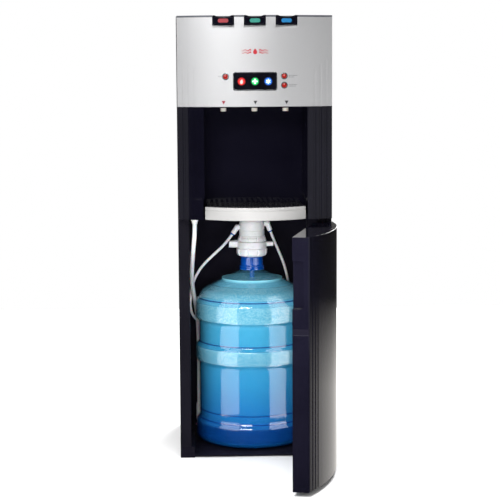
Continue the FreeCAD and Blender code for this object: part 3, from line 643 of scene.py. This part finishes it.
# ---- hoses ----------------------------------------------------------------------------------
def hose(name, route, diameter, bodies, cad_node):
    """Mesh tube on the CAD tube's own curve. One body: it rides with it; two: it is left in world
    space, attached to neither.
    """
    data = bpy.data.curves.new(name + "_line", "CURVE")
    data.dimensions = "3D"
    data.resolution_u = 10
    spline = data.splines.new("NURBS")
    spline.points.add(len(route) - 1)
    for point, (x, y, z) in zip(spline.points, route):
        point.co = (x * MM, y * MM, z * MM, 1)
    spline.order_u = 3
    spline.use_endpoint_u = True
    line = bpy.data.objects.new(name + "_line", data)
    bpy.context.scene.collection.objects.link(line)
    bpy.context.view_layer.update()
    centre = bpy.data.meshes.new_from_object(
        line.evaluated_get(bpy.context.evaluated_depsgraph_get()))
    data.bevel_depth = diameter / 2
    data.bevel_resolution = 5
    data.use_fill_caps = True
    bpy.context.view_layer.update()
    mesh = bpy.data.meshes.new_from_object(
        line.evaluated_get(bpy.context.evaluated_depsgraph_get()))
    bpy.data.objects.remove(line)
    bpy.data.meshes.remove(centre)
    mesh.materials.clear()
    body = bodies[0] if len(bodies) == 1 else None
    piece = add_piece(name, mesh, MATERIALS["hose_white"], body, (cad_node,))
    if len(bodies) == 2:
        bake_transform(piece)


hose("water_tube", WATER_HOSE, WATER_HOSE_D, ("bottle", "cabinet"), "water_hose")
hose("air_tube", AIR_HOSE, WATER_HOSE_D, ("bottle", "cabinet"), "air_hose")
hose("drain_tube", DRAIN_HOSE, DRAIN_HOSE_D, ("cabinet",), "drain_hose")


# ---- bottle ---------------------------------------------------------------------------------
BOTTLE_SEGMENTS = 300
BOTTLE_R = 135                # at the bands, in millimetres as all of this section
WAIST_R = 127.3               # between them
NECK_R = 22.8
BORE_R = 20.6                 # inside the neck
NECK_TOP = 443
CAP_BORE_R = 23.1
PEBBLE_PITCH = 6.2
BANDS = ((24, 52), (205, 233.5), (303, 337))      # textured bands, low and high z
SHOULDER_BAND = (356, 385)


def bottle_outline(inset):
    """Bottle's outer line from the foot ring to the neck, moved in by inset, in millimetres."""
    band = BOTTLE_R - inset
    body = WAIST_R - inset
    return [
        (0, 12 + inset), (92, 12 + inset), (108, 5.5 + inset), (122, 7.5 + inset),
        (131 - inset, 13 + inset), (band, 22 + inset), (band, 54), (body, 66), (body, 194),
        (band, 203.5), (band, 235), (body, 243), (body, 295), (band, 301.3), (band, 338.5),
        (126.4 - inset, 354), (116.8 - inset, 367 - inset / 2), (77.5 - inset / 2, 388.3 - inset),
        (33, 409 - inset), (NECK_R - inset, 412 - inset / 2),
    ]


def band_relief(index, angle, radius, z):
    """Woven pebble relief in the bands and flutes on the shoulder."""
    if radius < 100:
        return 0
    for low, high in BANDS:
        if low < z < high:
            fade = min(1, (z - low) / 3, (high - z) / 3)
            rise = angle * BOTTLE_R / PEBBLE_PITCH * math.pi
            lattice = math.sin(rise + z * 0.62) * math.sin(rise - z * 0.62)
            return 0.55 * fade * (0.5 + 0.5 * lattice)
    low, high = SHOULDER_BAND
    if low < z < high:
        fade = min(1, (z - low) / 5, (high - z) / 5)
        return 0.5 * fade * (0.5 + 0.5 * math.sin(angle * 64 + z * 0.35))
    return 0


def bottle_shell():
    outer = refined(rounded(bottle_outline(0) + [(NECK_R, NECK_TOP)], 6, 5), 2.4)
    inner = rounded(bottle_outline(2.2) + [(BORE_R, NECK_TOP)], 5, 3)
    profile = outer + list(reversed(inner))
    centre = (BOTTLE_X, 0)

    def relief(index, angle, radius, z):
        return band_relief(index, angle, radius, z) if index < len(outer) else 0

    mesh = lathe_mesh("bottle_shell", profile, centre, BOTTLE_SEGMENTS, relief=relief)
    add_piece("bottle_shell", mesh, MATERIALS["bottle_blue"], "bottle",
              ("water_bottle",), crease=60)


def water_body():
    line = rounded(bottle_outline(2.5)[:-1], 5, 4)
    top = WATER_TOP / MM
    below = [(r, z) for r, z in line if z < top]
    edge = below[-1][0]
    surface = [(edge, top - 0.2), (edge - 2, top - 0.5), (0, top - 0.5)]
    mesh = lathe_mesh("water_body", below + surface, (BOTTLE_X, 0), 160)
    add_piece("water_body", mesh, MATERIALS["water_clear"], "bottle", ("water",))


def cap_ring():
    """Snap-on neck cap: flange, tear groove and a ribbed collar."""
    profile = rounded([(CAP_BORE_R, 443.5), (CAP_BORE_R, 412.5), (28.5, 412.5), (30.2, 414),
                       (30.2, 417), (28.4, 418), (28.4, 419), (30.2, 420), (30.2, 421.7),
                       (26.9, 423.5), (26.6, 425), (26.6, 441.5), (25.8, 443.5),
                       (CAP_BORE_R, 443.5)], 0.6, 2)[:-1]

    def ribs(index, angle, radius, z):
        if radius > 25.5 and 425.5 < z < 441:
            return 0.35 * (0.5 + 0.5 * math.cos(angle * 48))
        return 0

    mesh = lathe_mesh("cap_ring", refined(profile, 3), (BOTTLE_X, 0), 192, True, ribs)
    add_piece("cap_ring", mesh, MATERIALS["deep_blue"], "bottle", ("neck_cap",))


bottle_shell()
water_body()
cap_ring()


# ---- valve head and locking ring --------------------------------------------------------------
NOTCHES = 9                   # slots round the locking ring and the foot of the head
NOTCH_TURN = 0.3              # where the first slot is, as a part of their pitch
NOTCH_HALF_W = 0.085          # half a slot's width, as a part of their pitch
SHAFT_R = 4.5                 # bore of the head, round the dip tube
HEAD_SKIRT_R = 15.9           # bore of the head's skirt
RING_BORE_R = 16.05
RING_TOP = 479.5
WING_ROOT = 30.0
WING_TIP = 51.5
WING_Z = 473


def slot_depth(angle, depth):
    """Depth of a narrow slot at each of the NOTCHES places round the ring."""
    turn = (angle * NOTCHES / (2 * math.pi) - NOTCH_TURN) % 1.0
    off = min(turn, 1 - turn)
    return depth * max(0.0, 1 - (off / NOTCH_HALF_W) ** 2)


def valve_head():
    """Drum with a seam, a slotted flared foot and a domed top, on its shaft."""
    profile = rounded([(SHAFT_R, 430), (HEAD_SKIRT_R, 430), (HEAD_SKIRT_R, 480), (33.2, 480),
                       (34, 481), (32.9, 488), (31.4, 489), (30.7, 492.5), (29.6, 493.5),
                       (29.6, 505), (29.0, 505.6), (29.0, 506.8), (29.6, 507.4), (29.6, 522),
                       (28.2, 527.5), (24.5, 532.5), (18, 536.2), (8, 538), (SHAFT_R, 538),
                       (SHAFT_R, 500), (SHAFT_R, 430)], 0.9, 3)[:-1]

    def slots(index, angle, radius, z):
        return slot_depth(angle, 3.2) if radius > 29.7 and 480.5 < z < 492 else 0

    mesh = lathe_mesh("valve_head", refined(profile, 2), (BOTTLE_X, 0), 288, True, slots)
    add_piece("valve_head", mesh, MATERIALS["white_plastic"], "bottle",
              ("probe_body",), crease=50)


def locking_ring():
    """Slotted nut, rounded belt above it and two rounded finger wings."""
    profile = rounded([(RING_BORE_R, RING_TOP), (RING_BORE_R, 444), (28, 444), (34, 447.2),
                       (36.4, 452), (36.4, 462), (33.9, 463.4), (33.9, 464.6), (35.7, 467.5),
                       (35.7, 477.6), (34.2, RING_TOP), (RING_BORE_R, RING_TOP)], 1.2, 3)[:-1]

    def slots(index, angle, radius, z):
        return slot_depth(angle, 4.0) if radius > 33 and 447 < z < 462 else 0

    nut = lathe_mesh("locking_ring", refined(profile, 2), (BOTTLE_X, 0), 288, True, slots)
    work = bmesh.new()
    work.from_mesh(nut)
    for side in (-1, 1):
        wing = bmesh.ops.create_cube(work, size=1)["verts"]
        for v in wing:
            out = v.co.x + 0.5
            half_width = 9.0 if out < 0.5 else 7.5
            half_height = 5.5 if out < 0.5 else 4.9
            reach = WING_ROOT + (WING_TIP - WING_ROOT) * out
            v.co = Vector((BOTTLE_X + side * reach * MM, v.co.y * 2 * half_width * MM,
                           (WING_Z + v.co.z * 2 * half_height) * MM))
        edges = {e for v in wing for e in v.link_edges}
        bmesh.ops.bevel(work, geom=list(edges), offset=2.6 * MM, segments=4, affect="EDGES",
                        profile=0.5)
    bmesh.ops.recalc_face_normals(work, faces=work.faces)
    work.to_mesh(nut)
    work.free()
    add_piece("locking_ring", nut, MATERIALS["white_plastic"], "lock_ring",
              ("probe_collar",), crease=50)


valve_head()
locking_ring()


# ---- drip tray ------------------------------------------------------------------------------
TRAY_HALF_W = 111.5
TRAY_CORNER_Y = -208.0
TRAY_MID_Y = -250.0


def tray_band():
    """Light curved front of the tray: soft lower edge, shadow line and a rolled lip."""
    sagitta = TRAY_CORNER_Y - TRAY_MID_Y
    radius = (TRAY_HALF_W ** 2 + sagitta ** 2) / (2 * sagitta)
    centre_y = TRAY_MID_Y + radius
    half_turn = math.asin(TRAY_HALF_W / radius)
    section = rounded([(-3.4, 552), (-3.4, 551), (-1.2, 551), (0, 552.5), (0.1, 570.5),
                       (-0.9, 571.6), (-0.9, 572.6), (0, 573.6), (0, 577.6), (-1.8, 580),
                       (-3.4, 578.8), (-3.4, 552)], 1.3, 4)[:-1]
    steps = 72
    vertices = []
    for i in range(steps + 1):
        angle = -half_turn + 2 * half_turn * i / steps
        for out, z in section:
            r = radius + out
            vertices.append((r * MM * math.sin(angle), (centre_y - r * math.cos(angle)) * MM,
                             z * MM))
    count = len(section)
    faces = []
    for i in range(steps):
        for j in range(count):
            k = (j + 1) % count
            faces.append((i * count + j, i * count + k, (i + 1) * count + k, (i + 1) * count + j))
    faces.append(tuple(range(count)))
    last = steps * count
    faces.append(tuple(range(last + count - 1, last - 1, -1)))
    mesh = mesh_of("tray_band", vertices, faces)
    add_piece("tray_band", mesh, MATERIALS["light_trim"], "drip_tray",
              ("tray_front",), crease=50)


tray_band()


# ---- prints on the silver panel ----------------------------------------------------------------
INK_RED = print_ink("ink_red", (0.50, 0.008, 0.02))
INK_DARK = print_ink("ink_dark", (0.02, 0.018, 0.025))
INK_DARK_RED = print_ink("ink_dark_red", (0.30, 0.01, 0.03))
INK_GREY = print_ink("ink_grey", (0.16, 0.16, 0.18))
EMBLEM_Z = 919.5 * MM
POINTER_TOP = 813 * MM
POINTER_TIP = 805 * MM
POINTER_HALF_W = 4.2
DASH_HALF_H = 0.55
DASH_GAP = 0.9


def emblem():
    """A plain emblem: a drop between two pairs of waves."""
    outlines = []
    drop = []
    for i in range(36):
        angle = 2 * math.pi * i / 36
        up = math.sin(angle)
        narrow = 1 - 0.62 * max(0.0, up) ** 1.5
        height = 7.6 * MM if up > 0 else 4.8 * MM
        drop.append((4.6 * MM * math.cos(angle) * narrow,
                     EMBLEM_Z - 1.2 * MM + height * up))
    outlines.append(drop)
    for side in (-1, 1):
        for level in (-2.6, 2.6):
            upper = []
            lower = []
            for i in range(25):
                x = side * (8.5 + 20.5 * i / 24) * MM
                wave = 1.5 * math.sin(2 * math.pi * i / 12)
                taper = 1.5 * (1 - 0.7 * i / 24)
                upper.append((x, EMBLEM_Z + (level + wave + taper) * MM))
                lower.append((x, EMBLEM_Z + (level + wave - taper) * MM))
            outlines.append(upper + list(reversed(lower)))
    front_print("print_emblem", outlines, INK_RED, "cabinet")


def pointers():
    """Small triangles that point at the outlets."""
    for name, x, ink, slot in (("hot", -69.3, INK_DARK_RED, "label_red"),
                               ("room", 0.0, INK_DARK, "window_black"),
                               ("cold", 68.5, INK_DARK, "window_black")):
        outline = [((x - POINTER_HALF_W) * MM, POINTER_TOP), (x * MM, POINTER_TOP),
                   ((x + POINTER_HALF_W) * MM, POINTER_TOP), (x * MM, POINTER_TIP)]
        front_print("print_pointer_" + name, [outline], ink, "cabinet")


def lamp_marks():
    """Short dashes beside the lamps, in place of their captions."""
    dashes = []
    for x0, x1, z in ((-80.5, -73.0, 865.8), (73.5, 92, 867.6), (73.5, 85, 864.2),
                      (73.5, 93, 847.8), (73.5, 89, 844.4)):
        x = x0
        while x < x1 - 1:
            width = random.choice((1.6, 2.6, 3.6))
            end = min(x + width, x1)
            dashes.append(bar(x * MM, end * MM, (z - DASH_HALF_H) * MM, (z + DASH_HALF_H) * MM))
            x = end + DASH_GAP
    front_print("print_lamp_marks", dashes, INK_GREY, "cabinet")


emblem()
pointers()
lamp_marks()


# ---- glowing icons in the window ----------------------------------------------------------------
ICON_X = (-30.0 * MM, -0.6 * MM, 28.4 * MM)
ICON_Z = 855.0 * MM
ICON_R = 8.8 * MM
ICON_LIFT = 0.02 * MM


def icon_glow(name, colour, core):
    """Lit disc: bright in the middle, fading towards its rim."""
    material, tree, shader = start_material(name)
    coordinates = tree.nodes.new("ShaderNodeTexCoord")
    ring = tree.nodes.new("ShaderNodeTexGradient")
    ring.gradient_type = "SPHERICAL"
    link(tree, coordinates.outputs["Object"], ring.inputs["Vector"])
    mix = blended(tree, spread(tree, ring.outputs["Fac"], 0, 1, 0.0, 0.75),
                  tuple(c * 0.10 for c in colour), core)
    link(tree, mix, shader.inputs["Emission Color"])
    link(tree, mix, shader.inputs["Base Color"])
    shader.inputs["Emission Strength"].default_value = 1.0
    shader.inputs["Roughness"].default_value = 0.2
    return material


def flame_outline(x, z, size):
    """Flame: a leaning drop."""
    outline = []
    for i in range(40):
        angle = 2 * math.pi * i / 40
        up = math.sin(angle)
        narrow = 1 - 0.75 * max(0.0, up) ** 1.3
        lean = 0.25 * max(0.0, up) ** 2
        outline.append((x + size * (0.62 * math.cos(angle) * narrow + lean), z + size * up))
    return [outline]


def star_outlines(x, z, size, arms, width):
    """Bars through one point, for a spark or a snowflake."""
    bars = []
    for i in range(arms):
        angle = math.pi * i / arms + math.pi / 2
        along = (math.cos(angle), math.sin(angle))
        side = (-along[1] * width / 2, along[0] * width / 2)
        a = (x - along[0] * size, z - along[1] * size)
        b = (x + along[0] * size, z + along[1] * size)
        bars.append([(a[0] + side[0], a[1] + side[1]), (a[0] - side[0], a[1] - side[1]),
                     (b[0] - side[0], b[1] - side[1]), (b[0] + side[0], b[1] + side[1])])
    return bars


def icon(name, x, colour, core, mark_colour, marks):
    """Disc with its origin at its own centre, so that the glow's falloff is centred on it."""
    centre = Vector(on_front(x, ICON_Z, 0))
    rim = 56
    rings = 4
    vertices = [Vector(on_front(x, ICON_Z, ICON_LIFT)) - centre]
    faces = []
    for ring in range(1, rings + 1):
        radius = ICON_R * ring / rings
        for px, pz in circle(x, ICON_Z, radius, rim):
            vertices.append(Vector(on_front(px, pz, ICON_LIFT)) - centre)
    scale = 1 / ICON_R
    for i in range(rim):
        faces.append((0, 1 + (i + 1) % rim, 1 + i))
    for ring in range(rings - 1):
        for i in range(rim):
            j = (i + 1) % rim
            a = 1 + ring * rim
            b = a + rim
            faces.append((a + i, a + j, b + j, b + i))
    mesh = mesh_of(name, [v * scale for v in vertices], faces)
    disc = bpy.data.objects.new(name, mesh)
    bpy.context.scene.collection.objects.link(disc)
    mesh.materials.append(icon_glow(name + "_glow", colour, core))
    disc.location = centre
    disc.scale = (ICON_R, ICON_R, ICON_R)
    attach(disc, "cabinet")
    front_print(name + "_mark", marks, print_ink(name + "_ink", mark_colour, 1.4), "cabinet",
                lift=0.1 * MM, thickness=0.06 * MM)


icon("icon_hot", ICON_X[0], (0.9, 0.02, 0.02), (0.85, 0.03, 0.03), (1, 0.32, 0.30),
     flame_outline(ICON_X[0], ICON_Z - 0.6 * MM, 5.2 * MM))
icon("icon_room", ICON_X[1], (0.01, 0.5, 0.12), (0.05, 0.75, 0.2), (0.8, 1, 0.85),
     star_outlines(ICON_X[1], ICON_Z, 5.4 * MM, 2, 2.4 * MM))
icon("icon_cold", ICON_X[2], (0.02, 0.12, 0.9), (0.05, 0.25, 0.95), (0.75, 0.88, 1),
     star_outlines(ICON_X[2], ICON_Z, 5.4 * MM, 3, 1.5 * MM))


# ---- keys -----------------------------------------------------------------------------------
KEY_FRAME_HALF_W = 20.6 * MM
KEY_FRAME_Z = (979.8 * MM, 993.2 * MM)


def key_borders():
    """Fine raised frame on the front of each button."""
    line = 0.5 * MM
    z0, z1 = KEY_FRAME_Z
    for name, x in zip(("hot", "room", "cold"), OUTLET_X):
        x0 = x - KEY_FRAME_HALF_W
        x1 = x + KEY_FRAME_HALF_W
        outlines = [bar(x0, x1, z0, z0 + line), bar(x0, x1, z1 - line, z1),
                    bar(x0, x0 + line, z0 + line, z1 - line),
                    bar(x1 - line, x1, z0 + line, z1 - line)]
        front_print("key_border_" + name, outlines, MATERIALS["satin_black"], "key_" + name,
                    lift=-0.15 * MM, thickness=0.3 * MM)


key_borders()


# ---- carried CAD nodes ------------------------------------------------------------------------
# Nodes whose finish differs from what their slot usually gets.
# dip_tube is deep blue partly for the blue pocket inside the cap and partly as painted shade
# inside the neck
SPECIAL = {"hose_fittings": "white_plastic", "hose_gland": "white_plastic",
           "wall_fittings": "white_plastic", "dip_tube": "deep_blue",
           "compartment_liner": "liner_black", "base_tray": "liner_black",
           "machine_deck": "liner_black", "door_catch": "liner_black",
           "door_liner": "liner_black"}

for part in frame["record"]["subparts"]:
    slot_name = SPECIAL.get(part["node"], part["material_slot"])
    mesh = nodes[part["node"]].data
    mesh.materials.clear()
    mesh.materials.append(MATERIALS[slot_name])


# ---- studio ---------------------------------------------------------------------------------
FLOOR_X = 1.9                 # half the floor's width
FLOOR_FRONT = -0.8
FLOOR_REAR = 2.0


def add_floor():
    """Plain pale floor that ends outside the camera's view."""
    work = bmesh.new()
    bmesh.ops.create_grid(work, x_segments=12, y_segments=12, size=1)
    for v in work.verts:
        v.co.x *= FLOOR_X
        v.co.y = FLOOR_FRONT + (v.co.y + 1) / 2 * (FLOOR_REAR - FLOOR_FRONT)
    mesh = bpy.data.meshes.new("floor")
    work.to_mesh(mesh)
    work.free()
    mesh.materials.append(floor_white())
    floor = bpy.data.objects.new("floor", mesh)
    bpy.context.scene.collection.objects.link(floor)
    floor.visible_glossy = False


def add_light(name, kind, place, target, power, size=(1, 1), lit=True, mirrored=True):
    """Lamp unseen by the camera. lit: it lights matt surfaces; mirrored: gloss reflects it."""
    data = bpy.data.lights.new(name, kind)
    data.energy = power
    if kind == "AREA":
        data.shape = "RECTANGLE"
        data.size, data.size_y = size
    else:
        data.angle = math.radians(size[0])
    light = bpy.data.objects.new(name, data)
    bpy.context.scene.collection.objects.link(light)
    aim = Vector(target) - Vector(place)
    light.rotation_euler = aim.to_track_quat("-Z", "Y").to_euler()
    light.location = place
    light.visible_camera = False
    light.visible_diffuse = lit
    light.visible_glossy = mirrored


def add_panel(name, place, target, size, glow):
    """Softbox seen only in reflections, of a given brightness."""
    power = glow * math.pi * size[0] * size[1]
    add_light(name, "AREA", place, target, power, size, lit=False)


def add_world():
    """Plain white backdrop for the camera. Reflections get less: a bright rim just above the
    horizon and a bright ground, both behind the object only, and next to nothing in front."""
    world = bpy.data.worlds.new("studio")
    world.use_nodes = True
    tree = world.node_tree
    glow = tree.nodes["Background"]
    coordinates = tree.nodes.new("ShaderNodeTexCoord")
    split = tree.nodes.new("ShaderNodeSeparateXYZ")
    link(tree, coordinates.outputs["Generated"], split.inputs["Vector"])
    glow.inputs["Color"].default_value = (1, 0.965, 0.92, 1)
    behind = spread(tree, split.outputs["Y"], 0.001, 0.025, 0.0, 0.6)
    overhead = spread(tree, split.outputs["Z"], 0.0, 0.018, 0.1, 0.7)
    rim = spread(tree, split.outputs["Z"], 0.0, 0.08, 0.02, 0.10)
    rim_side = spread(tree, split.outputs["Y"], 0, 1, 0.6, 0.9)
    rim = combined(tree, "MULTIPLY", [rim, rim_side], False)
    low = spread(tree, split.outputs["Z"], 1.0, 0.0, -0.21, -0.15)
    low_side = spread(tree, split.outputs["Y"], 0.0, 0.95, 0.3, 0.7)
    low = combined(tree, "MULTIPLY", [low, low_side], False)
    link(tree, combined(tree, "ADD", [behind, overhead, rim, low], False), glow.inputs["Strength"])
    plain = tree.nodes.new("ShaderNodeBackground")
    plain.inputs["Color"].default_value = (1, 1, 1, 1)
    path = tree.nodes.new("ShaderNodeLightPath")
    choose = tree.nodes.new("ShaderNodeMixShader")
    link(tree, path.outputs["Is Camera Ray"], choose.inputs["Fac"])
    link(tree, glow.outputs["Background"], choose.inputs[1])
    link(tree, plain.outputs["Background"], choose.inputs[2])
    link(tree, choose.outputs["Shader"], tree.nodes["World Output"].inputs["Surface"])
    bpy.context.scene.world = world


add_floor()
add_world()
add_light("sky", "SUN", (0, 0, 4), (0, 0, 0), 2.9, (40,))
add_light("key", "AREA", (-0.9, -3.2, 2.2), (0, -0.2, 0.7), 78, (1.5, 1.0))
add_light("fill", "AREA", (1.6, -3.2, 1.9), (0, -0.2, 0.5), 20, (1.2, 1.2), mirrored=False)
add_light("low_fill", "AREA", (-0.2, -2.4, 0.5), (0, 0, 0.35), 18, (1.0, 0.7), mirrored=False)
add_light("inside", "AREA", (-0.05, -0.75, 0.42), (0, 0, 0.42), 2.8, (0.3, 0.3), mirrored=False)
add_light("rear", "AREA", (1.0, 2.7, 1.5), (0, 0.1, 0.5), 90, (1.2, 1.4))
add_panel("flank_left", (-1.6, -1.7, 0.5), (-0.14, -0.2, 0.6), (0.7, 1.1), 0.32)
add_panel("flank_right", (1.5, -1.8, 0.5), (0.14, -0.2, 0.6), (0.8, 1.1), 0.36)
add_panel("bottle_left", (-0.116, -0.166, 0.268), (-0.026, -0.123, 0.268), (0.106, 0.40), 4.0)
add_panel("bottle_right", (0.090, -0.1425, 0.268), (0.0105, -0.0818, 0.268), (0.072, 0.40), 4.6)

bpy.context.scene.view_settings.view_transform = "Standard"
